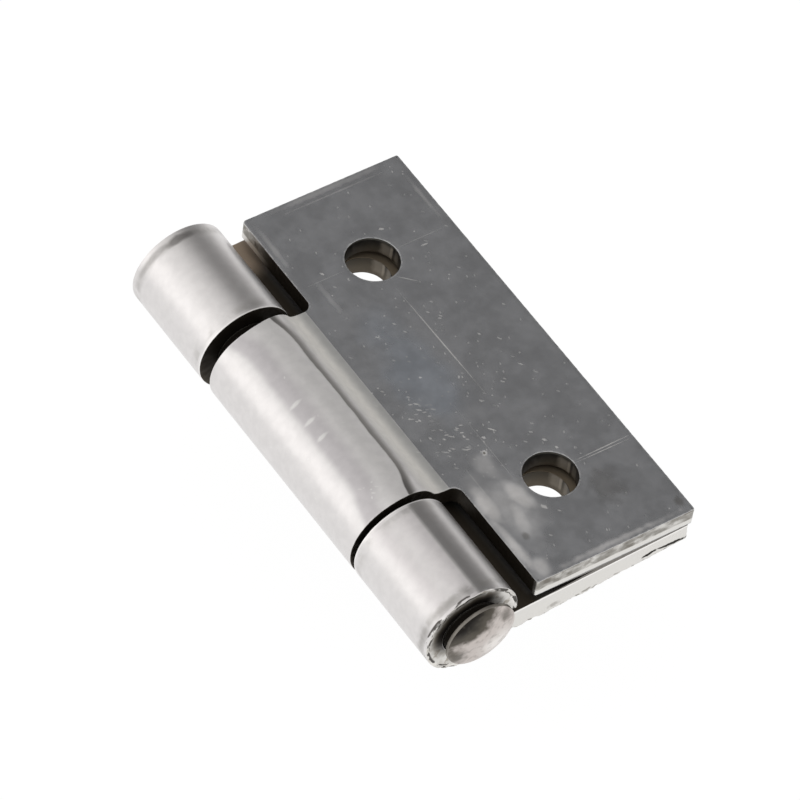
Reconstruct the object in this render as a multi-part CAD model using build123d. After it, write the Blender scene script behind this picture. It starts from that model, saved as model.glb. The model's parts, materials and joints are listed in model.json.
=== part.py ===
from build123d import *
import math
import os

# Steel butt hinge, closed. Each leaf is one strip of sheet: a flat, a bend that lifts it away from the other
# leaf, and a roll that is curled round the pin. X runs along the pin, Y from the pin to the free edges, Z up.
# The leaves are drawn with the pin axis on X and moved at the end, so that the origin is the middle of the
# fixed leaf's screw holes, on the face that is screwed down.

# Sheet and leaves, in millimetres
leaf_length = 50.0  # both leaves, along the pin
leaf_width = 25.1  # moving leaf, pin axis to free edge
fixed_setback = 0.4  # the fixed leaf's free edge lies this much nearer the pin
sheet = 2.0  # thickness of the steel
moving_rise = 0.15  # the moving leaf's inner face lies this far from the pin axis
closed_lean = 2.8  # degrees by which the closed leaves lean together, so that their free edges meet first
free_edge_gap = 0.1  # air that is left between the free edges of the closed leaves
leaf_corner = 0.2  # rounding of the leaf's corners, seen in plan
edge_break = 0.15  # bevel that the punch leaves round the outer faces

# Rolled knuckles
neck_bend = 2.0  # hollow radius of the bend between flat and roll
seam_gap = 0.85  # height by which the end of the roll stays clear of its own leaf's inner face
moving_clearance = 2.05  # radial, between the fixed leaf's knuckles and the moving leaf's notches
fixed_clearance = 1.0  # radial, between the moving leaf's knuckle and the fixed leaf's notch
notch_corner = 1.0  # inner corners of the notches
tongue_width = 24.0  # length of the moving leaf's knuckle along the pin
knuckle_gap = 1.2  # along the pin, between that knuckle and each of its neighbours when it is centred
tongue_shift = 0.55  # the moving leaf's knuckle lies this far off centre, towards +X
roll_run = 0.75  # how far the tongue ran towards +X as it was curled, from its neck to its roll
neck_flare = 0.25  # how much wider the tongue is at its neck than in its roll, on each side

# Screw holes
hole_diameter = 5.4
hole_spacing = 30.0  # between the two holes of a leaf, along the pin
hole_row = 15.55  # moving leaf, pin axis to the line of holes
fixed_hole_setback = 0.7  # the fixed leaf's line of holes lies this much nearer the pin

# Pin
pin_diameter = 6.0
pin_clearance = 0.08  # radial, between the pin and the rolled knuckles
head_diameter = 7.2
head_stand = 1.0  # air between the head and the knuckle beside it
head_rim = 0.4  # thickness of the head at its edge
head_dome = 0.45  # height of the hammered dome over the rim
tail_diameter = 6.9
tail_seat = 0.05  # air between the peened tail and the knuckle beside it
tail_rim = 0.2  # thickness of the tail at its edge
tail_dome = 0.3  # height of the tail's dome over its rim

# Worked out from the sizes above
pin_radius = pin_diameter / 2
bore_radius = pin_radius + pin_clearance
knuckle_radius = bore_radius + sheet
moving_notch_line = knuckle_radius + moving_clearance
fixed_notch_line = knuckle_radius + fixed_clearance
lean = math.radians(closed_lean)
fixed_rise = leaf_width * math.sin(lean) - moving_rise * math.cos(lean) + free_edge_gap
fixed_width = leaf_width - fixed_setback
fixed_hole_row = hole_row - fixed_hole_setback
middle_notch = tongue_width + 2 * knuckle_gap
punch_reach = 2 * knuckle_radius  # how far a punch runs past the sheet
same = 1e-4  # places and radii that differ by less than this are the same


def on_circle(radius, angle):
    """Returns the point of a circle about the pin axis at an angle in degrees from the leaf's direction."""
    return (radius * math.cos(math.radians(angle)), radius * math.sin(math.radians(angle)))


def seam_angle(rise):
    """Returns the angle in degrees at which the roll of a leaf ends, for the rise of its inner face."""
    return math.degrees(math.asin((rise - seam_gap) / knuckle_radius))


def leaf_strip(width, rise):
    """Returns the bent strip of an upper leaf, before punching: its section drawn out along the pin.

    width is from the pin axis to the free edge, and rise from the pin axis to the leaf's inner face.
    """
    top = rise + sheet
    bend_z = top + neck_bend
    bend_y = math.sqrt((knuckle_radius + neck_bend) ** 2 - bend_z**2)
    neck = math.degrees(math.atan2(bend_z, bend_y))
    bend_turn = 90 - neck
    seam = seam_angle(rise)
    roll_turn = 360 + seam - neck
    with BuildPart() as strip:
        with BuildSketch(Plane.YZ.offset(-leaf_length / 2)):
            with BuildLine():
                Line((width, top), (bend_y, top))
                CenterArc((bend_y, bend_z), neck_bend, -90, -bend_turn)
                CenterArc((0, 0), knuckle_radius, neck, roll_turn)
                Line(on_circle(knuckle_radius, seam), on_circle(bore_radius, seam))
                CenterArc((0, 0), bore_radius, seam, -roll_turn)
                CenterArc((bend_y, bend_z), neck_bend + sheet, -90 - bend_turn, bend_turn)
                Polyline((bend_y, rise), (width, rise), (width, top))
            make_face()
        extrude(amount=leaf_length)
    return strip.part


def corner_punch(side):
    """Returns the punch that clears one end of the upper leaf for the knuckle beside its tongue.

    side is -1 for the end at -X and 1 for the end at +X. The tongue's edge leans from the neck to the roll,
    because the roll ran a little along the pin while it was curled.
    """
    roll_x = tongue_shift + side * tongue_width / 2
    neck_x = roll_x - roll_run + side * neck_flare
    outside_x = side * (leaf_length / 2 + punch_reach)
    with BuildPart() as punch:
        with BuildSketch(Plane.XY.offset(-punch_reach)) as outline:
            with BuildLine():
                edge = Line((roll_x, -punch_reach), (roll_x, 0))
                TangentArc(edge @ 1, (neck_x, moving_notch_line), tangent=(0, 1))
                Polyline(
                    (neck_x, moving_notch_line),
                    (outside_x, moving_notch_line),
                    (outside_x, -punch_reach),
                    edge @ 0,
                )
            make_face()
            inner_corners = outline.vertices().filter_by_position(Axis.Y, moving_notch_line, moving_notch_line)
            fillet(inner_corners, notch_corner)
        extrude(amount=2 * punch_reach)
    return punch.part


def middle_punch():
    """Returns the punch that clears the middle of the fixed leaf for the moving leaf's knuckle."""
    with BuildPart() as punch:
        with BuildSketch(Plane.XY.offset(-punch_reach)) as outline:
            with Locations((0, fixed_notch_line)):
                Rectangle(middle_notch, fixed_notch_line + punch_reach, align=(Align.CENTER, Align.MAX))
            inner_corners = outline.vertices().filter_by_position(Axis.Y, fixed_notch_line, fixed_notch_line)
            fillet(inner_corners, notch_corner)
        extrude(amount=2 * punch_reach)
    return punch.part


def hole_punch(row):
    """Returns the two punches for the screw holes of a leaf, with their line at a distance from the pin."""
    with BuildPart() as punch:
        with BuildSketch():
            with Locations((0, row)):
                with GridLocations(hole_spacing, 0, 2, 1):
                    Circle(hole_diameter / 2)
        extrude(amount=punch_reach)
    return punch.part


def is_outer_skin(face, rise):
    """Tells whether a face of an upper leaf belongs to the skin that is away from the other leaf."""
    if face.geom_type == GeomType.CYLINDER:
        lies_along_pin = face.axis_of_rotation.is_parallel(Axis.X)
        return lies_along_pin and min(abs(face.radius - r) for r in (knuckle_radius, neck_bend)) < same
    return face.geom_type == GeomType.PLANE and abs(face.center().Z - rise - sheet) < same


def finish_edges(leaf, rise):
    """Returns an upper leaf with its plan corners rounded and the outline of its outer skin bevelled."""
    upright = leaf.edges().filter_by(Axis.Z)
    plan_corners = upright.filter_by(lambda edge: abs(abs(edge.center().X) - leaf_length / 2) < same)
    leaf = fillet(plan_corners, leaf_corner)
    outer_skin = leaf.faces().filter_by(lambda face: is_outer_skin(face, rise))
    skin_edges = [edge for face in outer_skin for edge in face.edges()]
    outline = [edge for edge in skin_edges if skin_edges.count(edge) == 1]
    seam_z = on_circle(knuckle_radius, seam_angle(rise))[1]
    away_from_seam = [edge for edge in outline if abs(edge.center().Z - seam_z) > same]
    return chamfer(away_from_seam, edge_break)


def make_pin():
    """Returns the pin, turned about X, with its domed head at +X and its peened tail at -X."""
    head_x = leaf_length / 2 + head_stand
    tail_x = -leaf_length / 2 - tail_seat
    head_radius = head_diameter / 2
    tail_radius = tail_diameter / 2
    with BuildPart() as pin:
        with BuildSketch():
            with BuildLine():
                TangentArc(
                    (tail_x - tail_rim - tail_dome, 0), (tail_x - tail_rim, tail_radius), tangent=(0, 1)
                )
                Polyline(
                    (tail_x - tail_rim, tail_radius),
                    (tail_x, tail_radius),
                    (tail_x, pin_radius),
                    (head_x, pin_radius),
                    (head_x, head_radius),
                    (head_x + head_rim, head_radius),
                )
                TangentArc(
                    (head_x + head_rim + head_dome, 0), (head_x + head_rim, head_radius), tangent=(0, 1)
                )
                Line((head_x + head_rim + head_dome, 0), (tail_x - tail_rim - tail_dome, 0))
            make_face()
        revolve(axis=Axis.X)
    return pin.part


# The moving leaf leans about the pin until its free edge all but meets the fixed leaf.
moving_leaf = leaf_strip(leaf_width, moving_rise) - corner_punch(-1) - corner_punch(1) - hole_punch(hole_row)
moving_leaf = Rot(X=-closed_lean) * finish_edges(moving_leaf, moving_rise)

# The fixed leaf is punched the same way up and then turned over about Y, so that it lies under the other.
fixed_leaf = leaf_strip(fixed_width, fixed_rise) - middle_punch() - hole_punch(fixed_hole_row)
fixed_leaf = Rot(Y=180) * finish_edges(fixed_leaf, fixed_rise)

to_origin = Pos(0, -fixed_hole_row, fixed_rise + sheet)
pieces = {"fixed_leaf": fixed_leaf, "moving_leaf": moving_leaf, "hinge_pin": make_pin()}

os.makedirs("parts", exist_ok=True)
for name, piece in pieces.items():
    export_step(to_origin * piece, f"parts/{name}.step")
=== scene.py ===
"""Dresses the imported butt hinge: two leaves of rolled steel sheet and a hammered pin, lying closed.

Each leaf starts as the flat blank that a punch leaves, with its sheared edges. A node tree then bends
and rolls the blank up, as the real leaf is made. Lengths are in millimetres until they reach a mesh, which
is in metres.
"""
import json
import logging
import math
from dataclasses import dataclass, field
from enum import Enum
from typing import Any, Sequence

import bpy
import numpy as np
from mathutils import Matrix, Vector, noise
from mathutils.geometry import delaunay_2d_cdt


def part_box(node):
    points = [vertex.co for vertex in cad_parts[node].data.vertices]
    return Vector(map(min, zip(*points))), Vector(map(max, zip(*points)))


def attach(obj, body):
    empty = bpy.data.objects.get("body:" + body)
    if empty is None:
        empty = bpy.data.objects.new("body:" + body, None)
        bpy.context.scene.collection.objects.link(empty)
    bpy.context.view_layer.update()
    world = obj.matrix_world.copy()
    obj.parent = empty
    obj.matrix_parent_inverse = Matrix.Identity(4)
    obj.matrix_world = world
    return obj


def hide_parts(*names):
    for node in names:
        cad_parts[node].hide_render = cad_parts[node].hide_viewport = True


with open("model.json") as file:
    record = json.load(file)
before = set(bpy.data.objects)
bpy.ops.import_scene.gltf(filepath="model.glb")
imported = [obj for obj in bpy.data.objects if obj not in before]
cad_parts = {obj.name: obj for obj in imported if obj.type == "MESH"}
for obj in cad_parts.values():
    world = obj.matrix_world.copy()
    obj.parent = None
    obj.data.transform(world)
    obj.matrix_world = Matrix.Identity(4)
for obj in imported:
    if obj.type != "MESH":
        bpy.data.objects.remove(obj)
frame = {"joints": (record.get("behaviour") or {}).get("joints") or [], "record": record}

MM = 0.001  # metres in a millimetre
PLACE = "strip_place"  # attribute: along the pin, along the strip and through the sheet, in metres
RIM = "rim_distance"  # attribute: distance from the nearest sheared edge, in millimetres
EDGE_BREAK = 0.15  # bevel round the outer faces of the leaves
SHARP_ANGLE = math.radians(40)  # faces that meet at more than this keep a sharp edge between them
Run = tuple[tuple[float, float], ...]  # places and a size at each, or the ends of stretches
log = logging.getLogger("hinge")


def linear(hex_colour: str) -> tuple[float, float, float, float]:
    """Turns an sRGB colour into the linear one that a shader takes.

    Args:
        hex_colour: The colour as "#rrggbb".

    Returns:
        Red, green and blue in linear light, and an alpha of 1.
    """
    shares = [int(hex_colour[at : at + 2], 16) / 255 for at in (1, 3, 5)]
    red, green, blue = (c / 12.92 if c <= 0.04045 else ((c + 0.055) / 1.055) ** 2.4 for c in shares)
    return red, green, blue, 1.0


def add_node(
    tree: bpy.types.NodeTree, kind: str, inputs: dict[str | int, Any] | None = None, **settings: Any
) -> bpy.types.Node:
    """Adds a node to a tree, with its settings and its inputs.

    Args:
        tree: The shader or geometry tree.
        kind: The node's type name.
        inputs: What each input gets, by name or place: a node's first output, a socket or a plain value.
        settings: The node's own properties.

    Returns:
        The new node.
    """
    node = tree.nodes.new(kind)
    for name, value in settings.items():
        setattr(node, name, value)
    for key, value in (inputs or {}).items():
        source = value.outputs[0] if isinstance(value, bpy.types.Node) else value
        if isinstance(source, bpy.types.NodeSocket):
            tree.links.new(source, node.inputs[key])
        else:
            node.inputs[key].default_value = source
    return node


class LeafKind(Enum):
    """The two leaves: the one that is screwed to the frame, and the one that swings."""

    FIXED = "fixed"
    MOVING = "moving"


class EdgeBand(Enum):
    """The bands that a punch leaves down a sheared edge, from the face that it enters."""

    ROUNDED = "rounded"
    BURNISHED = "burnished"
    TORN = "torn"


# How far a sheared edge strays in each band, in millimetres
STRAY_REACH = {EdgeBand.ROUNDED: 0.016, EdgeBand.BURNISHED: 0.012, EdgeBand.TORN: 0.045}


@dataclass(frozen=True)
class BentStrip:
    """How the sheet runs from the flat leaf through a bend into the roll about the pin, seen along the pin.

    A place along the strip is given by y. On the flat that is the distance from the pin axis, and past the
    bend it goes on along the middle of the sheet, so that the whole strip can be drawn flat.
    """

    rise: float  # from the pin axis to the leaf's inner face
    sheet: float = 2.0
    neck_bend: float = 2.0  # hollow radius of the bend
    bore_radius: float = 3.08  # inside of the roll
    seam_gap: float = 0.85  # height by which the roll's end stays clear of its own leaf's inner face

    @property
    def mid_height(self) -> float:
        """Height of the middle of the flat sheet over the pin axis."""
        return self.rise + self.sheet / 2

    @property
    def bend_radius(self) -> float:
        """Radius of the bend at the middle of the sheet."""
        return self.neck_bend + self.sheet / 2

    @property
    def roll_radius(self) -> float:
        """Radius of the roll at the middle of the sheet."""
        return self.bore_radius + self.sheet / 2

    @property
    def bend_height(self) -> float:
        """Height of the bend's centre over the pin axis."""
        return self.mid_height + self.bend_radius

    @property
    def bend_start(self) -> float:
        """The y at which the flat ends and the bend starts."""
        return math.sqrt((self.roll_radius + self.bend_radius) ** 2 - self.bend_height**2)

    @property
    def neck_angle(self) -> float:
        """Angle about the pin, from the leaf's direction, at which the bend passes into the roll."""
        return math.atan2(self.bend_height, self.bend_start)

    @property
    def roll_start(self) -> float:
        """The y at which the bend ends and the roll starts."""
        return self.bend_start - self.bend_radius * (math.pi / 2 - self.neck_angle)

    @property
    def roll_end(self) -> float:
        """The y of the sheet's end, at the seam."""
        seam = math.asin((self.rise - self.seam_gap) / (self.bore_radius + self.sheet))
        return self.roll_start - self.roll_radius * (2 * math.pi + seam - self.neck_angle)

    def roll_place(self, angle: float) -> float:
        """Works out the y of the place on the roll at an angle in degrees about the pin."""
        return self.roll_start - self.roll_radius * (math.radians(angle) - self.neck_angle)

    def plan_y(self, y: float) -> float:
        """Works out where a place on the strip lies when the leaf is seen from above.

        Args:
            y: The place along the strip.

        Returns:
            Its distance from the pin axis, towards the free edge, at the middle of the sheet.
        """
        if y >= self.bend_start:
            return y
        if y >= self.roll_start:
            return self.bend_start - self.bend_radius * math.sin((self.bend_start - y) / self.bend_radius)
        return self.roll_radius * math.cos(self.neck_angle + (self.roll_start - y) / self.roll_radius)


@dataclass(frozen=True)
class ShearedEdge:
    """The edge that a punch leaves through the sheet, with sizes in millimetres.

    The corners of the sheet are a little rounded. Between them the punch has burnished one band, and the
    metal has torn in the other. Heights are over the middle of the sheet, towards its outer skin.
    """

    sheet: float
    torn_low: float
    torn_high: float
    front: float  # the end of the blank that lies in front, where the shear was dull
    lip: Run  # how far the outer skin is pushed out there
    burr: Run  # how far the inner corner stands out of the sheet there
    hole_burr: float = 0.0  # how far the outer corner stands into the holes
    round_radius: float = 0.07
    round_steps: int = 3
    wall_steps: int = 9
    break_size: float = 0.05  # how far the inner corner is broken
    margin: float = 0.3  # from the edge to the ring where the skins begin
    wavelength: float = 0.5
    unevenness: tuple[float, float] = (0.45, 0.4)  # of the lip, over long and over short stretches
    seed: float = 7.0

    def stations(self) -> list[tuple[float, float]]:
        """Lists the rings of points down the edge, from the outer skin to the inner one.

        Returns:
            For each ring its inset from the outline and its height.
        """
        top = self.sheet / 2
        rings = [(self.margin, top)]
        for step in range(1, self.round_steps + 1):
            angle = math.pi / 2 * (1 - step / self.round_steps)
            inset = self.round_radius * (1 - math.cos(angle))
            rings.append((inset, top - self.round_radius * (1 - math.sin(angle))))
        upper, lower = top - self.round_radius, self.break_size - top
        for step in range(1, self.wall_steps + 1):
            rings.append((0.0, upper + (lower - upper) * step / self.wall_steps))
        rings.append((self.break_size, -top))
        rings.append((self.margin, -top))
        return rings

    def band(self, height: float) -> EdgeBand:
        """Tells which band a height lies in.

        Args:
            height: The height in the sheet.

        Returns:
            The band.
        """
        if height > self.sheet / 2 - self.round_radius:
            return EdgeBand.ROUNDED
        return EdgeBand.TORN if self.torn_low < height < self.torn_high else EdgeBand.BURNISHED

    def wobble(self, x: float, y: float, height: float) -> float:
        """Works out how far a point of the edge strays, in or out.

        Args:
            x: The point's place along the pin.
            y: Its place along the strip.
            height: Its height in the sheet.

        Returns:
            The stray inset, in millimetres.
        """
        reach = STRAY_REACH[self.band(height)]
        place = Vector((x, y, height * 0.6)) / self.wavelength + Vector((self.seed, 0, 0))
        return reach * (noise.noise(place) + 0.5 * noise.noise(place * 2.7))

    def stray(self, x: float, y: float, height: float) -> tuple[float, float]:
        """Works out how far the dull shear has moved a point of the leaf's front end.

        Args:
            x: The point's place along the pin.
            y: Its place along the strip.
            height: Its height in the sheet.

        Returns:
            The move along the pin and the move through the sheet, in millimetres.
        """
        if abs(x - self.front) > self.margin:
            return 0.0, 0.0
        long, short = self.unevenness
        ragged = 1 + long * noise.noise(Vector((self.seed, y / (3 * self.wavelength), 0.0)))
        ragged += short * noise.noise(Vector((self.seed, y / self.wavelength, 3.0)))
        outer = 0.5 + height / self.sheet
        out = float(np.interp(y, *zip(*self.lip))) * ragged * outer**2
        down = float(np.interp(y, *zip(*self.burr))) * (1 - outer) ** 4
        return math.copysign(out, self.front), -down


def rounded_loop(corners: Sequence[tuple[float, float, float]], step: float) -> np.ndarray:
    """Draws a closed outline with arcs at its corners.

    Args:
        corners: The corners in order, each with its x, y and radius.
        step: The longest distance between two points.

    Returns:
        The points of the outline, one row each.
    """
    points: list[np.ndarray] = []
    for index, (x, y, radius) in enumerate(corners):
        here = np.array((x, y))
        if radius == 0:
            points.append(here)
            continue
        before = np.array(corners[index - 1][:2]) - here
        after = np.array(corners[(index + 1) % len(corners)][:2]) - here
        before /= np.linalg.norm(before)
        after /= np.linalg.norm(after)
        half = math.acos(float(np.clip(before @ after, -1, 1))) / 2
        middle = before + after
        middle /= np.linalg.norm(middle)
        centre = here + middle * radius / math.sin(half)
        sweep = math.pi - 2 * half
        count = max(4, math.ceil(radius * sweep / step * 2))
        side = middle - before * (middle @ before)
        side /= np.linalg.norm(side)
        for at in range(count + 1):
            angle = sweep * at / count
            spoke = -side * math.cos(angle) - before * math.sin(angle)
            points.append(centre + radius * spoke)
    loop: list[np.ndarray] = []
    for start, end in zip(points, points[1:] + points[:1]):
        pieces = max(1, math.ceil(float(np.linalg.norm(end - start)) / step))
        loop.extend(start + (end - start) * piece / pieces for piece in range(pieces))
    return np.array(loop)


def inward(loop: np.ndarray) -> np.ndarray:
    """Works out the way into the sheet at each point of a loop that has the sheet on its left.

    Args:
        loop: The points of the loop.

    Returns:
        For each point the step that moves both its edges inwards by one millimetre.
    """
    along = np.roll(loop, -1, axis=0) - loop
    along /= np.linalg.norm(along, axis=1, keepdims=True)
    left = np.stack((-along[:, 1], along[:, 0]), axis=1)
    before = np.roll(left, 1, axis=0)
    return (left + before) / (1 + (left * before).sum(axis=1, keepdims=True))


def on_sheet(points: np.ndarray, loops: Sequence[np.ndarray]) -> np.ndarray:
    """Tells which points lie inside the outline and outside the holes.

    Args:
        points: The points to test.
        loops: The outline and the holes.

    Returns:
        True for each point that lies on the sheet.
    """
    crossings = np.zeros(len(points), int)
    px, py = points[:, :1], points[:, 1:]
    for loop in loops:
        ax, ay = loop.T
        bx, by = np.roll(loop, -1, axis=0).T
        level = np.where(by == ay, 1.0, by - ay)
        meets = ((ay > py) != (by > py)) & (px < ax + (py - ay) * (bx - ax) / level)
        crossings += meets.sum(axis=1)
    return crossings % 2 == 1


def edge_distance(points: np.ndarray, loops: Sequence[np.ndarray]) -> np.ndarray:
    """Measures how far points lie from the nearest edge.

    Args:
        points: The points to measure.
        loops: The outline and the holes.

    Returns:
        The distance of each point.
    """
    nearest = np.full(len(points), np.inf)
    for loop in loops:
        for start, end in zip(loop, np.roll(loop, -1, axis=0)):
            run = end - start
            share = np.clip((points - start) @ run / (run @ run), 0, 1)[:, None]
            nearest = np.minimum(nearest, np.linalg.norm(points - start - share * run, axis=1))
    return nearest


@dataclass(frozen=True)
class Blank:
    """A flat punched blank: its outline and holes, the strip it will be bent to and its sheared edge."""

    loops: tuple[np.ndarray, ...]
    strip: BentStrip
    edge: ShearedEdge
    turned_over: bool
    flat_step: float = 0.7
    curl_step: float = 0.3

    def grid(self) -> np.ndarray:
        """Lays out the points inside the skins: close together along the strip where it will be curled.

        Returns:
            The points, clear of every edge.
        """
        low, high = self.loops[0].min(axis=0), self.loops[0].max(axis=0)
        columns = np.arange(low[0], high[0], self.flat_step)
        curled = np.arange(low[1], self.strip.bend_start, self.curl_step)
        flat = np.arange(self.strip.bend_start, high[1], self.flat_step)
        points = np.stack(np.meshgrid(columns, np.concatenate((curled, flat))), axis=-1).reshape(-1, 2)
        points = points[on_sheet(points, self.loops)]
        return points[edge_distance(points, self.loops) > self.edge.margin + self.curl_step / 2]

    def mesh(self, name: str) -> bpy.types.Mesh:
        """Builds the blank as a closed mesh, lying flat, with its places on the strip as attributes.

        Args:
            name: The mesh's name.

        Returns:
            The mesh, in metres.
        """
        steps = [inward(loop) for loop in self.loops]
        rims = [loop + self.edge.margin * step for loop, step in zip(self.loops, steps)]
        starts = np.cumsum([0] + [len(loop) for loop in rims])
        flat_points = np.vstack((*rims, self.grid()))
        rim_edges = [
            (int(start + at), int(start + (at + 1) % len(rim)))
            for start, rim in zip(starts, rims)
            for at in range(len(rim))
        ]
        corners, _, triangles, origins, _, _ = delaunay_2d_cdt(
            [Vector(point) for point in flat_points], rim_edges, [], 0, 1e-6
        )
        skin = np.array([corner[:] for corner in corners])
        where = {source: at for at, sources in enumerate(origins) for source in sources}
        middles = np.array([skin[list(face)].mean(axis=0) for face in triangles])
        kept = [list(face) for face, on in zip(triangles, on_sheet(middles, rims)) if on]
        half = self.edge.sheet / 2
        places = [np.column_stack((skin, np.full(len(skin), side * half))) for side in (1, -1)]
        faces = kept + [[corner + len(skin) for corner in reversed(face)] for face in kept]
        rim = [edge_distance(skin, self.loops)] * 2
        total = 2 * len(skin)
        for loop, step, start in zip(self.loops, steps, starts):
            ring = [where[int(start) + at] for at in range(len(loop))]
            foot = [corner + len(skin) for corner in ring]
            for points in self.edge_rings(loop, step, is_hole=start > 0):
                places.append(points)
                rim.append(np.zeros(len(loop)))
                below = list(range(total, total + len(loop)))
                total += len(loop)
                faces.extend(self.wall(ring, below))
                ring = below
            faces.extend(self.wall(ring, foot))
        return self.finished_mesh(name, np.vstack(places), faces, np.concatenate(rim))

    def edge_rings(self, loop: np.ndarray, step: np.ndarray, is_hole: bool) -> list[np.ndarray]:
        """Draws the rings of points down one edge, between the skins.

        Args:
            loop: The outline or the hole that the edge follows.
            step: The way into the sheet at each of its points.
            is_hole: Whether the loop is a hole.

        Returns:
            The points of each ring, from the outer skin to the inner one.
        """
        rings: list[np.ndarray] = []
        for inset, height in self.edge.stations()[1:-1]:
            if is_hole:
                inset -= self.edge.hole_burr * (0.5 + height / self.edge.sheet) ** 3
            wobble = np.array([self.edge.wobble(x, y, height) for x, y in loop])
            stray = np.array([self.edge.stray(x, y, height) for x, y in loop])
            moved = loop + step * (inset + wobble)[:, None]
            moved[:, 0] += stray[:, 0]
            rings.append(np.column_stack((moved, height + stray[:, 1])))
        return rings

    @staticmethod
    def wall(upper: list[int], lower: list[int]) -> list[list[int]]:
        """Joins two rings of points with a band of faces that look outwards.

        Args:
            upper: The points of the ring that is nearer the outer skin.
            lower: The points of the other ring.

        Returns:
            The faces.
        """
        after = [(at + 1) % len(upper) for at in range(len(upper))]
        return [[upper[at], lower[at], lower[to], upper[to]] for at, to in enumerate(after)]

    def finished_mesh(
        self, name: str, places: np.ndarray, faces: list[list[int]], rim: np.ndarray
    ) -> bpy.types.Mesh:
        """Makes the mesh and writes its attributes.

        Args:
            name: The mesh's name.
            places: The places of its points on the strip.
            faces: Its faces.
            rim: The distance of each point from the nearest edge.

        Returns:
            The mesh.
        """
        mesh = bpy.data.meshes.new(name)
        mesh.from_pydata((places * MM).tolist(), [], faces)
        seen = (places * MM * ((-1, 1, 1) if self.turned_over else (1, 1, 1))).astype(np.float32)
        mesh.attributes.new(PLACE, "FLOAT_VECTOR", "POINT").data.foreach_set("vector", seen.ravel())
        mesh.attributes.new(RIM, "FLOAT", "POINT").data.foreach_set("value", rim.astype(np.float32))
        log.info("%s: %d points, %d faces", name, len(places), len(faces))
        return mesh


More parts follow.
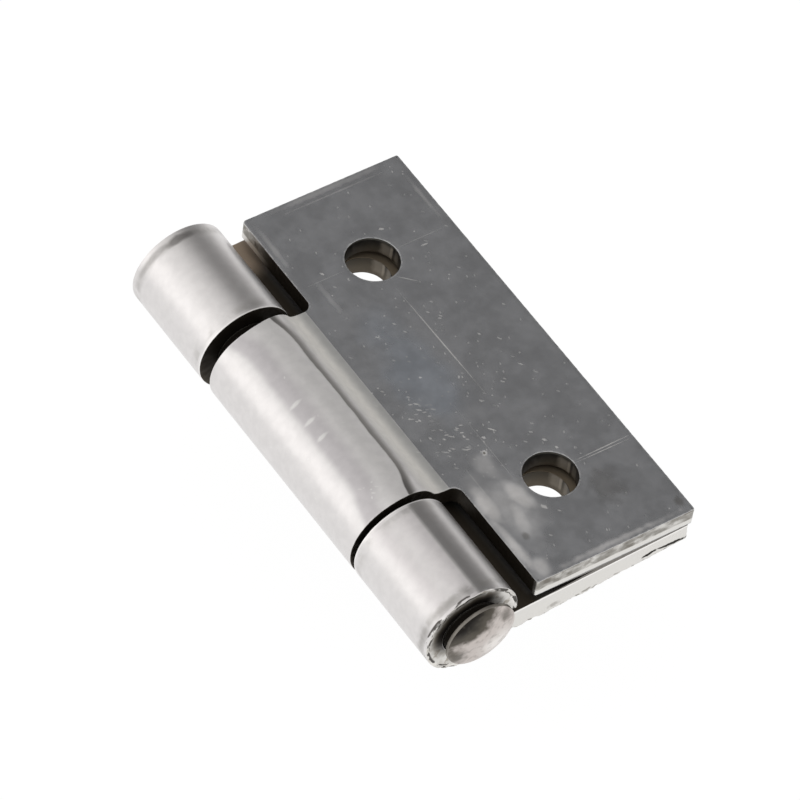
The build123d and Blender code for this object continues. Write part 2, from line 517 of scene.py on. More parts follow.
def roll_tree() -> bpy.types.NodeTree:
    """Builds the node tree that bends a flat blank and rolls it up about the pin.

    Returns:
        The tree, with the sizes of the bend and the roll as named inputs.
    """
    tree = bpy.data.node_groups.new("Roll a blank", "GeometryNodeTree")
    tree.interface.new_socket("Blank", in_out="INPUT", socket_type="NodeSocketGeometry")
    sizes = ("Bend Start", "Bend Height", "Bend Radius", "Roll Radius", "Neck Angle", "Lean", "Turn Over")
    for name in sizes:
        tree.interface.new_socket(name, in_out="INPUT", socket_type="NodeSocketFloat")
    tree.interface.new_socket("Pin Axis", in_out="INPUT", socket_type="NodeSocketVector")
    tree.interface.new_socket("Finish", in_out="INPUT", socket_type="NodeSocketMaterial")
    tree.interface.new_socket("Leaf", in_out="OUTPUT", socket_type="NodeSocketGeometry")
    given = add_node(tree, "NodeGroupInput").outputs
    start, height, bend, roll, neck, lean, turn_over = (given[name] for name in sizes)
    here = add_node(tree, "GeometryNodeInputPosition")
    place = add_node(tree, "ShaderNodeSeparateXYZ", {0: here}).outputs

    # How far a point lies past the flat's end, and how far over the flat if it is still on it
    past = add_node(tree, "ShaderNodeMath", {0: start, 1: place["Y"]}, operation="SUBTRACT")
    curled = add_node(tree, "ShaderNodeMath", {0: past, 1: 0.0}, operation="MAXIMUM")
    over = add_node(tree, "ShaderNodeMath", {0: place["Y"], 1: start}, operation="MAXIMUM")

    # The bend, about a centre above the outer skin
    full_turn = add_node(tree, "ShaderNodeMath", {0: math.pi / 2, 1: neck}, operation="SUBTRACT")
    wanted = add_node(tree, "ShaderNodeMath", {0: curled, 1: bend}, operation="DIVIDE")
    turn = add_node(tree, "ShaderNodeMath", {0: wanted, 1: full_turn}, operation="MINIMUM")
    reach = add_node(tree, "ShaderNodeMath", {0: bend, 1: place["Z"]}, operation="SUBTRACT")
    sine = add_node(tree, "ShaderNodeMath", {0: turn}, operation="SINE")
    cosine = add_node(tree, "ShaderNodeMath", {0: turn}, operation="COSINE")
    inset = add_node(tree, "ShaderNodeMath", {0: reach, 1: sine}, operation="MULTIPLY")
    drop = add_node(tree, "ShaderNodeMath", {0: reach, 1: cosine}, operation="MULTIPLY")
    bent_y = add_node(tree, "ShaderNodeMath", {0: over, 1: inset}, operation="SUBTRACT")
    bent_z = add_node(tree, "ShaderNodeMath", {0: height, 1: drop}, operation="SUBTRACT")
    bent = add_node(tree, "ShaderNodeCombineXYZ", {"X": place["X"], "Y": bent_y, "Z": bent_z})

    # The roll, about the pin axis
    bend_run = add_node(tree, "ShaderNodeMath", {0: bend, 1: full_turn}, operation="MULTIPLY")
    roll_run = add_node(tree, "ShaderNodeMath", {0: curled, 1: bend_run}, operation="SUBTRACT")
    rolled_by = add_node(tree, "ShaderNodeMath", {0: roll_run, 1: roll}, operation="DIVIDE")
    angle = add_node(tree, "ShaderNodeMath", {0: neck, 1: rolled_by}, operation="ADD")
    radius = add_node(tree, "ShaderNodeMath", {0: roll, 1: place["Z"]}, operation="ADD")
    roll_cosine = add_node(tree, "ShaderNodeMath", {0: angle}, operation="COSINE")
    roll_sine = add_node(tree, "ShaderNodeMath", {0: angle}, operation="SINE")
    roll_y = add_node(tree, "ShaderNodeMath", {0: radius, 1: roll_cosine}, operation="MULTIPLY")
    roll_z = add_node(tree, "ShaderNodeMath", {0: radius, 1: roll_sine}, operation="MULTIPLY")
    rolled = add_node(tree, "ShaderNodeCombineXYZ", {"X": place["X"], "Y": roll_y, "Z": roll_z})
    is_rolled = add_node(tree, "ShaderNodeMath", {0: roll_run, 1: 0.0}, operation="GREATER_THAN")
    shaped = add_node(
        tree, "GeometryNodeSwitch", {"Switch": is_rolled, "False": bent, "True": rolled}, input_type="VECTOR"
    )

    # The leaf leans about the pin, or is turned over to lie under the other one
    moved = add_node(tree, "GeometryNodeSetPosition", {"Geometry": given["Blank"], "Position": shaped})
    down = add_node(tree, "ShaderNodeMath", {0: lean, 1: -1.0}, operation="MULTIPLY")
    turned = add_node(tree, "ShaderNodeCombineXYZ", {"X": down, "Y": turn_over})
    seated = add_node(
        tree,
        "GeometryNodeTransform",
        {"Geometry": moved, "Translation": given["Pin Axis"], "Rotation": turned},
    )
    real = add_node(tree, "GeometryNodeRealizeInstances", {"Geometry": seated})
    dressed = add_node(tree, "GeometryNodeSetMaterial", {"Geometry": real, "Material": given["Finish"]})
    add_node(tree, "NodeGroupOutput", {"Leaf": dressed})
    return tree


@dataclass(frozen=True)
class Mark:
    """A mark on a flat surface. Lengths are in millimetres."""

    x: float  # of its middle, along the pin
    y: float  # of its middle, away from the pin
    length: float  # half its size along x, before it is turned
    width: float  # half its size along y, before it is turned
    strength: float = 1.0
    turn: float = 0.0  # degrees, from x towards y


@dataclass
class Surface:
    """A metal surface as it is built up in a material's tree, layer on layer. Lengths are in millimetres."""

    tree: bpy.types.NodeTree
    place: Any  # the socket that gives a place on the piece
    colour: Any
    roughness: Any
    strays: dict[float, bpy.types.Node] = field(default_factory=dict)  # unevenness, by its width

    def ramp(self, value: Any, zero: float, one: float, full: float = 1.0) -> bpy.types.Node:
        """Masks by a value that rises or falls.

        Args:
            value: The socket or node that gives the value.
            zero: The value at which the mask is 0.
            one: The value at which the mask is full.
            full: The mask's highest level.

        Returns:
            The mask's node.
        """
        return add_node(
            self.tree,
            "ShaderNodeMapRange",
            {"Value": value, "From Min": zero, "From Max": one, "To Max": full},
            interpolation_type="SMOOTHSTEP",
        )

    def band(
        self, value: Any, low: float, high: float, soft_low: float = 0.1, soft_high: float = 0.1
    ) -> bpy.types.Node:
        """Masks where a value lies between two limits.

        Args:
            value: The socket or node that gives the value.
            low: The lower limit.
            high: The upper limit.
            soft_low: How far the mask fades out at the lower limit.
            soft_high: How far it fades out at the upper limit.

        Returns:
            The mask's node.
        """
        rise = self.ramp(value, low - soft_low, low + soft_low)
        fall = self.ramp(value, high + soft_high, high - soft_high)
        return self.both(rise, fall)

    def clouds(
        self, size: float, low: float, high: float, stretch: Sequence[float] = (1, 1, 1)
    ) -> bpy.types.Node:
        """Masks an uneven scatter of patches.

        Args:
            size: How wide a patch is.
            low: The noise level at which the mask starts.
            high: The noise level at which it is full.
            stretch: How much longer a patch is along each axis.

        Returns:
            The mask's node.
        """
        scale = tuple(1 / (size * factor) for factor in stretch)
        scaled = add_node(self.tree, "ShaderNodeVectorMath", {0: self.place, 1: scale}, operation="MULTIPLY")
        speckle = add_node(self.tree, "ShaderNodeTexNoise", {"Vector": scaled, "Scale": 1.0, "Detail": 4.0})
        return self.ramp(speckle, low, high)

    def away(self, mark: Mark) -> Any:
        """Measures how far a place lies from a mark's middle.

        Args:
            mark: The mark.

        Returns:
            The socket that gives the distance, in shares of the mark's reach.
        """
        local = add_node(
            self.tree,
            "ShaderNodeMapping",
            {
                "Vector": self.place,
                "Location": (mark.x, mark.y, 0.0),
                "Rotation": (0.0, 0.0, math.radians(mark.turn)),
                "Scale": (mark.length, mark.width, 1e6),
            },
            vector_type="TEXTURE",
        )
        return add_node(self.tree, "ShaderNodeVectorMath", {0: local}, operation="LENGTH").outputs["Value"]

    def marks(
        self, marks: Sequence[Mark], ragged: float = 0.5, grain: float = 1.0, soft: float = 0.7
    ) -> Any:
        """Masks a group of marks with uneven edges.

        Args:
            marks: The marks.
            ragged: How uneven their edges are, in shares of their reach.
            grain: How wide the unevenness is.
            soft: The share of their reach over which they fade out.

        Returns:
            The mask's node, which is as strong as the strongest mark at each place.
        """
        if grain not in self.strays:
            self.strays[grain] = add_node(
                self.tree, "ShaderNodeTexNoise", {"Vector": self.place, "Scale": 1 / grain, "Detail": 4.0}
            )
        mask: Any = 0.0
        for mark in marks:
            edge = add_node(
                self.tree,
                "ShaderNodeMath",
                {0: self.strays[grain], 1: 2 * ragged, 2: self.away(mark)},
                operation="MULTIPLY_ADD",
            )
            one = self.ramp(edge, 1 + ragged, 1 - soft + ragged, mark.strength)
            mask = add_node(self.tree, "ShaderNodeMath", {0: mask, 1: one}, operation="MAXIMUM")
        return mask

    def flecks(self, length: float, width: float, turn: float, share: Any) -> bpy.types.Node:
        """Masks short scratches, scattered at random.

        Args:
            length: How long a scratch is.
            width: How wide it is.
            turn: The angle in degrees from the pin's direction to the scratches.
            share: The socket or number that gives the share of places that have a scratch.

        Returns:
            The mask's node, with scratches of different strength.
        """
        spacing = 4.0  # widths from one scratch to the next, and a quarter of a cell is a scratch
        turned = add_node(
            self.tree,
            "ShaderNodeVectorRotate",
            {"Vector": self.place, "Angle": -math.radians(turn)},
            rotation_type="Z_AXIS",
        )
        scale = (2 / (length * spacing), 1 / (width * spacing), 0.0)
        local = add_node(self.tree, "ShaderNodeVectorMath", {0: turned, 1: scale}, operation="MULTIPLY")
        cells = add_node(
            self.tree, "ShaderNodeTexVoronoi", {"Vector": local, "Scale": 1.0}, voronoi_dimensions="2D"
        ).outputs
        near = self.ramp(cells["Distance"], 0.2, 0.08)
        lots = add_node(self.tree, "ShaderNodeSeparateColor", {0: cells["Color"]}).outputs
        drawn = add_node(self.tree, "ShaderNodeMath", {0: lots["Red"], 1: share}, operation="LESS_THAN")
        return self.both(self.both(near, drawn), self.ramp(lots["Green"], -0.5, 1.0))

    def both(self, one: Any, other: Any) -> bpy.types.Node:
        """Masks where two masks meet."""
        return add_node(self.tree, "ShaderNodeMath", {0: one, 1: other}, operation="MULTIPLY")

    def lay(self, mask: Any, colour: str, roughness: float, strength: float = 1.0) -> None:
        """Lays another surface over this one where a mask is 1.

        Args:
            mask: The socket or node that gives the mask.
            colour: The layer's colour.
            roughness: The layer's roughness.
            strength: How much of the layer covers what lies under it.
        """
        cover = mask if strength == 1.0 else self.both(mask, strength)
        coloured = add_node(
            self.tree, "ShaderNodeMix", {0: cover, 6: self.colour, 7: linear(colour)}, data_type="RGBA"
        )
        self.colour = coloured.outputs[2]
        rough = add_node(self.tree, "ShaderNodeMix", {0: cover, 2: self.roughness, 3: roughness})
        self.roughness = rough.outputs[0]

    def shade(self, size: float, depth: float, mask: Any = 1.0) -> None:
        """Makes the colour cloudy.

        Args:
            size: How wide a cloud is.
            depth: How much darker the darkest cloud is.
            mask: Where the clouds lie.
        """
        dim = self.both(self.both(self.clouds(size, 0.68, 0.32), mask), depth)
        shaded = add_node(
            self.tree, "ShaderNodeMix", {0: dim, 6: self.colour, 7: linear("#000000")}, data_type="RGBA"
        )
        self.colour = shaded.outputs[2]

    def finish(self, shader: bpy.types.Node, grain: float, height: float) -> None:
        """Joins the surface to the metal shader, with a fine grain.

        Args:
            shader: The shader.
            grain: How wide the grain is.
            height: How high the grain is.
        """
        rough = add_node(
            self.tree, "ShaderNodeTexNoise", {"Vector": self.place, "Scale": 1 / grain, "Detail": 3.0}
        )
        bump = add_node(self.tree, "ShaderNodeBump", {"Height": rough, "Distance": height * MM})
        self.tree.links.new(self.colour, shader.inputs["Base Color"])
        self.tree.links.new(self.roughness, shader.inputs["Roughness"])
        self.tree.links.new(bump.outputs[0], shader.inputs["Normal"])
        shader.inputs["Metallic"].default_value = 1.0


# What handling has left on the moving leaf's outer face
SCUFFS = (
    Mark(-24.6, 16.5, 0.5, 9.2, 0.45),
    Mark(-23.8, 17.0, 0.14, 7.6, 0.4),
    Mark(-20.9, 7.9, 3.6, 0.4, 0.45),
    Mark(-19.4, 24.3, 3.6, 0.3, 0.4),
    Mark(-13.0, 9.2, 3.0, 0.4, 0.3),
    Mark(24.5, 16.5, 0.5, 9.0, 0.75),
)
# Lighter, rougher patches on the flat near the front notch
PALE_PATCHES = (
    Mark(15.4, 8.2, 4.2, 1.4, 1.0),
    Mark(15.6, 11.4, 3.2, 1.4, 0.95, 12),
    Mark(17.8, 10.0, 3.8, 1.5, 0.8, -14),
    Mark(16.5, 9.8, 6.0, 3.8, 0.55),
    Mark(20.0, 7.7, 6.5, 0.9, 0.9),
    Mark(23.7, 8.4, 1.7, 1.3, 0.75),
    Mark(11.4, 10.8, 2.8, 1.6, 0.5),
)
DULL_PATCHES = (
    Mark(20.0, 9.3, 0.7, 0.5, 0.5),
    Mark(18.6, 19.4, 3.0, 2.4, 0.4),
    Mark(23.6, 24.3, 0.8, 0.6, 0.6),
)
SCRATCHES = (
    Mark(-3.2, 15.6, 8.6, 0.1, 0.7, 0.9),
    Mark(-2.0, 15.62, 6.0, 0.07, 0.9, 0.9),
    Mark(-11.4, 17.1, 1.3, 0.09, 0.7, 46),
    Mark(-15.1, 10.0, 0.06, 2.7, 0.35),
    Mark(-15.1, 21.2, 0.06, 3.0, 0.35),
    Mark(14.73, 21.7, 0.08, 3.9, 1.0, 0.4),
    Mark(15.03, 21.5, 0.07, 3.7, 0.9, -0.5),
    Mark(10.2, 12.2, 7.0, 0.06, 0.35),
    Mark(12.7, 8.85, 2.6, 0.08, 0.55),
)
SPECKS = (
    Mark(9.9, 11.5, 0.44, 0.36, 0.9),
    Mark(17.9, 12.8, 0.42, 0.26, 0.9, 30),
    Mark(8.3, 12.5, 0.26, 0.16, 1.0, 50),
    Mark(7.9, 13.75, 0.5, 0.11, 0.9, 40),
    Mark(4.5, 14.8, 0.24, 0.1, 0.7, 20),
    Mark(1.1, 14.6, 0.22, 0.11, 0.7, -30),
    Mark(-6.7, 10.5, 0.24, 0.1, 0.6, 40),
    Mark(-0.6, 11.4, 0.24, 0.12, 0.7, 60),
    Mark(-15.8, 10.25, 0.26, 0.14, 0.8, 35),
    Mark(-14.0, 12.1, 0.24, 0.1, 0.6, -20),
    Mark(-17.8, 18.4, 0.28, 0.17, 0.9, 70),
    Mark(-14.2, 21.0, 0.12, 0.45, 0.7),
    Mark(11.3, 17.4, 0.26, 0.16, 0.9, 45),
    Mark(12.6, 17.9, 0.24, 0.13, 0.8, 15),
    Mark(9.9, 16.8, 0.2, 0.11, 0.7, 45),
    Mark(-2.4, 19.3, 0.22, 0.12, 0.7, 30),
    Mark(-1.0, 20.7, 0.34, 0.09, 0.7, 30),
    Mark(2.6, 20.7, 0.34, 0.09, 0.7, 40),
    Mark(-5.8, 17.1, 0.2, 0.1, 0.6, 60),
    Mark(3.5, 17.9, 0.22, 0.11, 0.6, 30),
)

# Dirt and cracks on the fixed leaf's front edge: x runs along the strip, y through the sheet
EDGE_PATCHES = (
    Mark(9.4, 0.55, 0.9, 0.3, 0.5),
    Mark(13.0, 0.75, 0.7, 0.14, 0.8),
    Mark(16.5, 0.8, 0.5, 0.1, 0.7),
)
EDGE_CRACKS = (
    Mark(20.4, 0.4, 1.2, 0.2, 1.0, -5),
    Mark(22.9, 0.6, 2.2, 0.22, 1.0, 6),
)


@dataclass(frozen=True)
class SheetSteel:
    """Cold-rolled mild steel sheet, punched and curled, with the marks of handling.

    The flat keeps the mill's smooth sheen, which mirrors its surroundings, so scuffs and scratches stand out
    pale on it. The roll and the bend are rougher than the flat, with painted reflection bands, paler and
    darker, across them and a painted shadow beside the front knuckle's burr. Sheared edges are bright where
    the punch burnished them and grainy where the metal tore, and a painted highlight runs along the fixed
    leaf's front edge. Painted shade darkens the slots, the notch walls and the seams between the leaves, and
    the hole walls are dark with dirt and painted shade.
    """

    kind: LeafKind
    strip: BentStrip
    hole_row: float
    hole_spacing: float
    hole_radius: float
    flat: str = "#c5c6c9"  # the mill's sheen, and what lies on it
    stained: str = "#c6cbd3"
    scuffed: str = "#e3e1e0"
    scratch: str = "#e6e5e3"
    dull_patch: str = "#84817d"
    rolled: str = "#dedbda"  # the knuckles and the bend, with their smudges and the painted reflections and shadow on them
    bend_sheen: str = "#e9e7e3"
    grey_reflection_band: str = "#b5b0b3"
    bend_foot: str = "#c8c8c6"
    dark_reflection_line: str = "#85827f"
    dark_reflection_band: str = "#8f8c8b"
    bright_reflection_band: str = "#eae6e6"
    flank_reflection: str = "#cdc9c9"
    smudge: str = "#7c7977"
    outer_ring: str = "#a9a6a2"
    inner_ring: str = "#b5b2ae"
    inner_rim: str = "#faf8f6"
    burr_shadow: str = "#8d8a86"
    broken_rim: str = "#3f3a34"
    torn: str = "#96938d"  # the sheared edges
    burnished: str = "#e0deda"
    edge_highlight: str = "#f7f5f2"
    crack: str = "#2b2722"
    end_face: str = "#c4c0b9"
    end_stain: str = "#8b8070"
    # painted shade under the pin head
    end_shade: str = "#2a2622"
    crest: str = "#efece7"
    crest_break: str = "#342f2a"
    hole_lip: str = "#57554f"
    hole_streak: str = "#857d72"
    hole_walls: tuple[str, str] = ("#0f0d0b", "#3c362d")  # the moving leaf's, outer and inner end: dirt and painted shade
    lower_walls: tuple[str, str] = ("#5e574d", "#3b362e")  # the fixed leaf's, likewise
    # painted shade where the leaves meet round the holes
    hole_seam_shade: str = "#1f1b17"
    brown_dirt_and_shade: str = "#6b645a"  # dirt; brown is also painted shade between the leaves at the front end and under the pin head
    tan: str = "#8d8170"
    dust: str = "#a39484"
    # painted shade in the slots and on the notch walls
    gap_shade: str = "#453f37"
    flat_roughness: float = 0.26
    rolled_roughness: float = 0.34
    grain_size: float = 0.2  # drawn coarser than the real grain, so that it shows
    grain_height: float = 0.003

    def material(self) -> bpy.types.Material:
        """Builds the material of one leaf.

        Returns:
            The material.
        """
        material = bpy.data.materials.new(f"cold-rolled steel sheet, {self.kind.value} leaf")
        material.use_nodes = True
        tree = material.node_tree
        here = add_node(tree, "ShaderNodeAttribute", attribute_name=PLACE).outputs["Vector"]
        rim = add_node(tree, "ShaderNodeAttribute", attribute_name=RIM).outputs["Fac"]
        place = add_node(tree, "ShaderNodeVectorMath", {0: here, "Scale": 1 / MM}, operation="SCALE")
        # Mapped, like the marks: the renderer then works layer by layer and does not run out of room
        mapped = add_node(tree, "ShaderNodeMapping", {"Vector": here, "Scale": (1 / MM, 1 / MM, 1 / MM)})
        across = add_node(tree, "ShaderNodeSeparateXYZ", {0: mapped}).outputs
        surface = Surface(tree, place.outputs[0], linear(self.rolled), self.rolled_roughness)
        mill = surface.ramp(across["Y"], self.strip.bend_start + 0.3, self.strip.bend_start + 0.6)
        surface.lay(mill, self.flat, self.flat_roughness)
        if self.kind is LeafKind.MOVING:
            self.dress_curl(surface, across)
            self.dress_flat(surface)
        else:
            self.dress_outer_knuckles(surface, across)
        surface.shade(2.4, 0.17, mill)
        surface.shade(0.9, 0.06)
        self.dress_skins(surface, across, rim)
        self.dress_edges(surface, across)
        surface.finish(tree.nodes["Principled BSDF"], self.grain_size, self.grain_height)
        return material

    def dress_curl(self, surface: Surface, across: Any) -> None:
        """Lays painted reflection bands, rougher bands and a few scratches on the middle knuckle and its
        bend.

        Args:
            surface: The surface to dress.
            across: The sockets that give the place on the strip.
        """
        place = self.strip.roll_place
        bend_end = self.strip.bend_start + 0.45

        # The painted reflection bands run straight across the tongue and turn off at its sides
        waver = surface.clouds(2.5, 0.2, 0.8)
        front = surface.ramp(across["X"], 8.0, 12.6, 0.95)
        back = surface.ramp(across["X"], -9.0, -12.0, 0.6)
        shifted = add_node(
            surface.tree, "ShaderNodeMath", {0: waver, 1: 0.15, 2: across["Y"]}, operation="MULTIPLY_ADD"
        )
        for side in (front, back):
            shifted = add_node(surface.tree, "ShaderNodeMath", {0: shifted, 1: side}, operation="ADD")
        surface.lay(surface.band(shifted, place(126), place(65.5), 0.8, 0.1), self.scuffed, 0.62)
        # Painted reflections: a grey band, a pale sheen on the rougher bend, and a dark line above the bend
        surface.lay(surface.band(shifted, place(123), place(100), 0.35, 0.6), self.grey_reflection_band, 0.5, 0.6)
        surface.lay(surface.band(across["Y"], place(52), bend_end, 0.75, 0.1), self.bend_sheen, 0.75)
        surface.lay(surface.band(across["Y"], bend_end - 0.9, bend_end, 0.9, 0.1), self.bend_foot, 0.45)
        surface.lay(surface.band(shifted, place(65), place(55.5), 0.08, 0.4), self.dark_reflection_line, 0.3, 0.95)
        strokes = [Mark(x, place(115), 0.3, 0.75, 0.8, 12) for x in (-2.0, 0.4, 2.5)]
        surface.lay(surface.marks(strokes, 0.3, 0.4), self.scratch, 0.55)

    def dress_flat(self, surface: Surface) -> None:
        """Lays the stains, scuffs, scribed lines and scratches on the moving leaf's flat.

        Args:
            surface: The surface to dress.
        """
        surface.lay(surface.marks([Mark(-1.5, 11.5, 10.0, 4.0)], 0.6, 4.0), self.stained, 0.28)
        surface.lay(surface.marks(SCUFFS, 0.7, 0.9, 0.9), self.scuffed, 0.52)
        surface.lay(surface.marks(PALE_PATCHES, 0.4, 2.2, 0.85), self.scuffed, 0.6)
        surface.lay(surface.marks(SCRATCHES, 0.4, 0.5), self.scratch, 0.5)
        surface.lay(surface.marks(SPECKS, 0.8, 0.2, 0.5), self.scratch, 0.55)
        surface.lay(surface.marks([Mark(9.9, 11.5, 0.2, 0.16)], 0.5, 0.2), self.brown_dirt_and_shade, 0.4, 0.8)
        clusters = surface.marks([Mark(2.6, 9.0, 2.8, 1.9), Mark(7.2, 9.4, 3.2, 3.2)], 0.5, 1.2)
        crowded = surface.both(clusters, 0.45)
        for length, width, turn in ((0.95, 0.15, 48), (0.55, 0.17, 25), (0.7, 0.13, 70)):
            surface.lay(surface.flecks(length, width, turn, crowded), self.scratch, 0.5, 0.9)
        crowd = surface.marks([Mark(2.0, 14.0, 15.0, 9.0)], 0.8, 3.0)
        share = add_node(
            surface.tree, "ShaderNodeMapRange", {"Value": crowd, "To Min": 0.02, "To Max": 0.09}
        )
        for length, width, turn in ((0.65, 0.13, 40), (0.5, 0.11, -20), (0.3, 0.15, 60)):
            surface.lay(surface.flecks(length, width, turn, share), self.scratch, 0.5, 0.7)
        surface.lay(surface.marks(DULL_PATCHES, 0.5, 1.2), self.dull_patch, 0.3)

    def dress_outer_knuckles(self, surface: Surface, across: Any) -> None:
        """Lays painted reflection bands and a painted shadow on the front knuckle, and the smudges on the
        fixed leaf's knuckles, which show most near their ends.

        Args:
            surface: The surface to dress.
            across: The sockets that give the place on the strip.
        """
        far = add_node(surface.tree, "ShaderNodeMath", {0: across["X"]}, operation="ABSOLUTE")
        rolled = surface.ramp(across["Y"], self.strip.roll_start + 0.5, self.strip.roll_start - 0.5)
        place = self.strip.roll_place
        # Painted reflections across the front knuckle: a dark band, a bright band and a greyer flank
        front = surface.ramp(across["X"], 12.5, 13.0)
        polished = surface.band(across["Y"], place(298), place(276), 0.5, 0.1)
        surface.lay(surface.both(front, polished), self.dark_reflection_band, 0.3, 0.45)
        dulled = surface.band(across["Y"], place(273.5), place(252), 0.12, 0.8)
        surface.lay(surface.both(front, dulled), self.bright_reflection_band, 0.52, 0.9)
        flank_reflection = surface.band(across["Y"], place(243), place(224), 0.6, 0.6)
        surface.lay(surface.both(front, flank_reflection), self.flank_reflection, self.rolled_roughness, 0.8)
        ring = surface.both(surface.band(far, 23.7, 24.5, 0.4, 0.3), surface.clouds(1.0, 0.3, 0.6))
        surface.lay(surface.both(ring, rolled), self.outer_ring, 0.4, 0.5)
        smudge = [Mark(-24.1, place(262), 0.6, 2.0, 0.8), Mark(-24.2, place(230), 0.5, 3.0, 0.4)]
        surface.lay(surface.marks(smudge, 0.5, 1.0), self.smudge, 0.4)
        # Painted shadow on the upper side of the front end, beside the burr
        burr = surface.band(across["X"], 24.0, 24.8, 0.35, 0.1)
        struck = surface.band(across["Y"], place(285), place(165), 1.5, 2.0)
        burr_shadow_mask = surface.both(surface.both(burr, struck), surface.clouds(1.5, 0.3, 0.7))
        surface.lay(burr_shadow_mask, self.burr_shadow, 0.4, 0.5)
        lip = surface.ramp(across["X"], 24.72, 24.85)
        broken = surface.both(lip, surface.clouds(0.4, 0.5, 0.56, (1, 3, 1)))
        surface.lay(surface.both(broken, struck), self.broken_rim, 0.6, 0.9)
        rim = surface.band(far, 13.2, 13.36, 0.03, 0.06)
        surface.lay(surface.both(rim, rolled), self.inner_rim, 0.5, 0.8)
        inside = surface.both(surface.band(far, 13.6, 14.3, 0.1, 0.5), surface.clouds(1.4, 0.4, 0.65))
        surface.lay(surface.both(inside, rolled), self.inner_ring, 0.4, 0.5)

    def dress_skins(self, surface: Surface, across: Any, rim: Any) -> None:
        """Lays on the worn rims, the plain inner face, and painted shade in the slots, between the leaves at
        the front end and where the leaves meet round the holes.

        Args:
            surface: The surface to dress.
            across: The sockets that give the place on the strip.
            rim: The socket that gives the distance from the nearest edge.
        """
        half = self.strip.sheet / 2
        worn = surface.both(surface.ramp(rim, 0.2, 0.05), surface.clouds(0.5, 0.4, 0.65))
        surface.lay(worn, self.scratch, 0.5, 0.45)
        inner = surface.ramp(across["Z"], -half + 0.04, -half + 0.01)
        surface.lay(inner, self.flat, 0.36)
        # Painted shade on the inner faces at the front end, where the two leaves lie close
        surface.lay(surface.both(inner, surface.ramp(across["X"], 23.6, 24.2)), self.brown_dirt_and_shade, 0.5, 0.8)
        # Painted shade on the inner faces near the knuckles, in the slots
        slots = surface.both(inner, surface.ramp(across["Y"], 9.2, 6.8))
        surface.lay(slots, self.gap_shade, 0.6)
        surface.lay(surface.both(slots, surface.ramp(across["X"], -19.8, -22.4)), self.dust, 0.6)
        for side in (-1, 1):
            reach = self.hole_radius + 2.2
            ring = Mark(side * self.hole_spacing / 2, self.hole_row, reach, reach)
            hole_ring = surface.marks([ring], 0.25, 1.0, 0.25)
            # Painted shade at the holes' corners, where the two leaves meet
            corner = surface.ramp(across["Z"], -half + 0.16, -half + 0.12)
            surface.lay(surface.both(corner, hole_ring), self.hole_seam_shade, 0.7)
            surface.lay(surface.both(inner, hole_ring), self.tan, 0.6)

    def dress_edges(self, surface: Surface, across: Any) -> None:
        """Lays on the sheared edges: burnished and torn bands, hole walls and knuckle ends, and painted
        shade on the notch walls.

        Args:
            surface: The surface to dress.
            across: The sockets that give the place on the strip.
        """
        half = self.strip.sheet / 2
        height = across["Z"]
        wall = surface.band(height, -half + 0.1, half - 0.04, 0.04, 0.02)
        surface.lay(wall, self.burnished, 0.45)
        if self.kind is LeafKind.MOVING:
            torn = surface.both(wall, surface.ramp(height, -0.4, -0.15))
            grains = surface.clouds(1.0, 0.25, 0.6, (1, 2, 1))
            surface.lay(surface.both(torn, grains), self.torn, 0.5)
            stains = surface.clouds(0.8, 0.5, 0.66, (1, 1.6, 1))
            surface.lay(surface.both(torn, stains), self.brown_dirt_and_shade, 0.55, 0.6)
        else:
            side_on = add_node(surface.tree, "ShaderNodeCombineXYZ", {"X": across["Y"], "Y": height})
            self.dress_front_edge(surface, across, Surface(surface.tree, side_on.outputs[0], None, None))
            self.dress_knuckle_end(surface, across, wall)
        self.dress_hole_walls(surface, height)
        # Painted shade on the walls of the notches, clear of the leaf's ends
        far = add_node(surface.tree, "ShaderNodeMath", {0: across["X"]}, operation="ABSOLUTE")
        below = surface.ramp(height, half - 0.02, half - 0.06)
        notch = surface.both(below, surface.ramp(across["Y"], 7.8, 7.4))
        clear = surface.ramp(far, 24.8, 24.4)
        outside = surface.ramp(height, -half + 0.01, -half + 0.02)
        if self.kind is LeafKind.MOVING:
            clear = surface.both(clear, surface.ramp(across["X"], -22.6, -19.8))
        surface.lay(surface.both(surface.both(notch, clear), outside), self.gap_shade, 0.55)

    def dress_hole_walls(self, surface: Surface, height: Any) -> None:
        """Colours the walls of the screw holes dark with dirt and painted shade, darkest towards the top of
        the hinge.

        Args:
            surface: The surface to dress.
            height: The socket that gives the height in the sheet.
        """
        half = self.strip.sheet / 2
        wall = surface.band(height, -half + 0.03, half - 0.04, 0.03, 0.02)
        outer, inner = self.hole_walls if self.kind is LeafKind.MOVING else self.lower_walls
        for side in (-1, 1):
            middle = side * self.hole_spacing / 2
            away = surface.away(Mark(middle, self.hole_row, 1.0, 1.0))
            bore = surface.both(wall, surface.ramp(away, self.hole_radius + 0.5, self.hole_radius + 0.3))
            # Dirt and painted shade: the inner end's colour, then the outer end's towards the outer face
            surface.lay(bore, inner, 0.5)
            surface.lay(surface.both(bore, surface.ramp(height, -half, half)), outer, 0.5)
            streaks = [
                Mark(
                    middle + self.hole_radius * math.cos(math.radians(turn)),
                    self.hole_row + self.hole_radius * math.sin(math.radians(turn)),
                    reach,
                    reach,
                    strength,
                )
                for turn, reach, strength in ((102, 0.28, 0.9), (114, 0.9, 0.5), (84, 0.5, 0.5))
            ]
            below = surface.both(bore, surface.ramp(height, half - 0.1, half - 0.7))
            surface.lay(surface.both(below, surface.marks(streaks, 0.3, 0.4)), self.hole_streak, 0.5)
            if self.kind is LeafKind.MOVING:
                lip = surface.band(height, half - 0.26, half, 0.08, 0.1)
                surface.lay(surface.both(bore, lip), self.hole_lip, 0.5)

